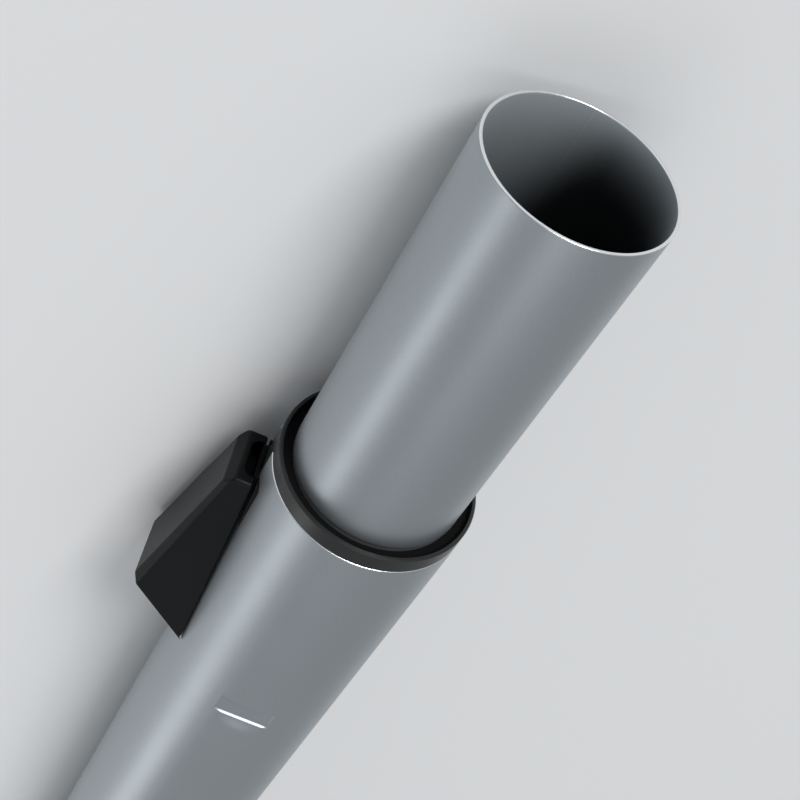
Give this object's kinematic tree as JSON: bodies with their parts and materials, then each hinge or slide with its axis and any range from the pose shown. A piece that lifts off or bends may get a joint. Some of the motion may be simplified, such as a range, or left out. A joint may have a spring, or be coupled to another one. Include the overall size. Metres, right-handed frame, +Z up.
{
  "type": "telescopic vacuum wand",
  "caption": "Telescopic steel vacuum wand: a thinner tube slides out of a wider one and is locked by a sliding wedge-shaped button.",
  "frame": {"origin": "centre of the handle socket's mouth, on the tubes' axis", "axes": "+X along the tubes to the nozzle end, +Z up as the wand lies on a floor, resting on the outer tube with one edge of the button just off the floor"},
  "size_m": [0.5915, 0.0546, 0.0414],
  "materials": {
    "silver_paint": "satin silver-grey",
    "black_plastic": "fine moulded grain",
    "button_plastic": "fine moulded grain",
    "felt": "pressed felt",
    "bare_steel": "bare",
    "black_rubber": "smooth"
  },
  "bodies": {
    "outer": {"outer_tube": "silver_paint", "guide_sleeve": "black_plastic", "wiper_ring": "felt", "latch_base": "black_plastic", "return_spring": "bare_steel"},
    "inner": {"inner_tube": "silver_paint", "end_bush": "black_plastic", "end_seal": "black_rubber"},
    "button": {"release_button": "button_plastic"},
    "bolt": {"lock_bolt": "bare_steel", "lock_pin": "bare_steel"}
  },
  "joints": [
    {"name": "tube_slide", "type": "slide", "parent": "outer", "child": "inner", "axis": [1, 0, 0], "range_m": [0, 0.36]},
    {"name": "button_slide", "type": "slide", "parent": "outer", "child": "button", "axis": [1, 0, 0], "range_m": [0, 0.0055], "stiffness_N_per_m": 700, "springref_m": -0.004, "deforming": ["return_spring"]},
    {"name": "bolt_lift", "type": "slide", "parent": "outer", "child": "bolt", "axis": [0, 0.9444, -0.3288], "range_m": [0, 0.0023]}
  ],
  "couplings": [
    {"joint": "bolt_lift", "follows": "button_slide", "ratio": 0.418}
  ]
}
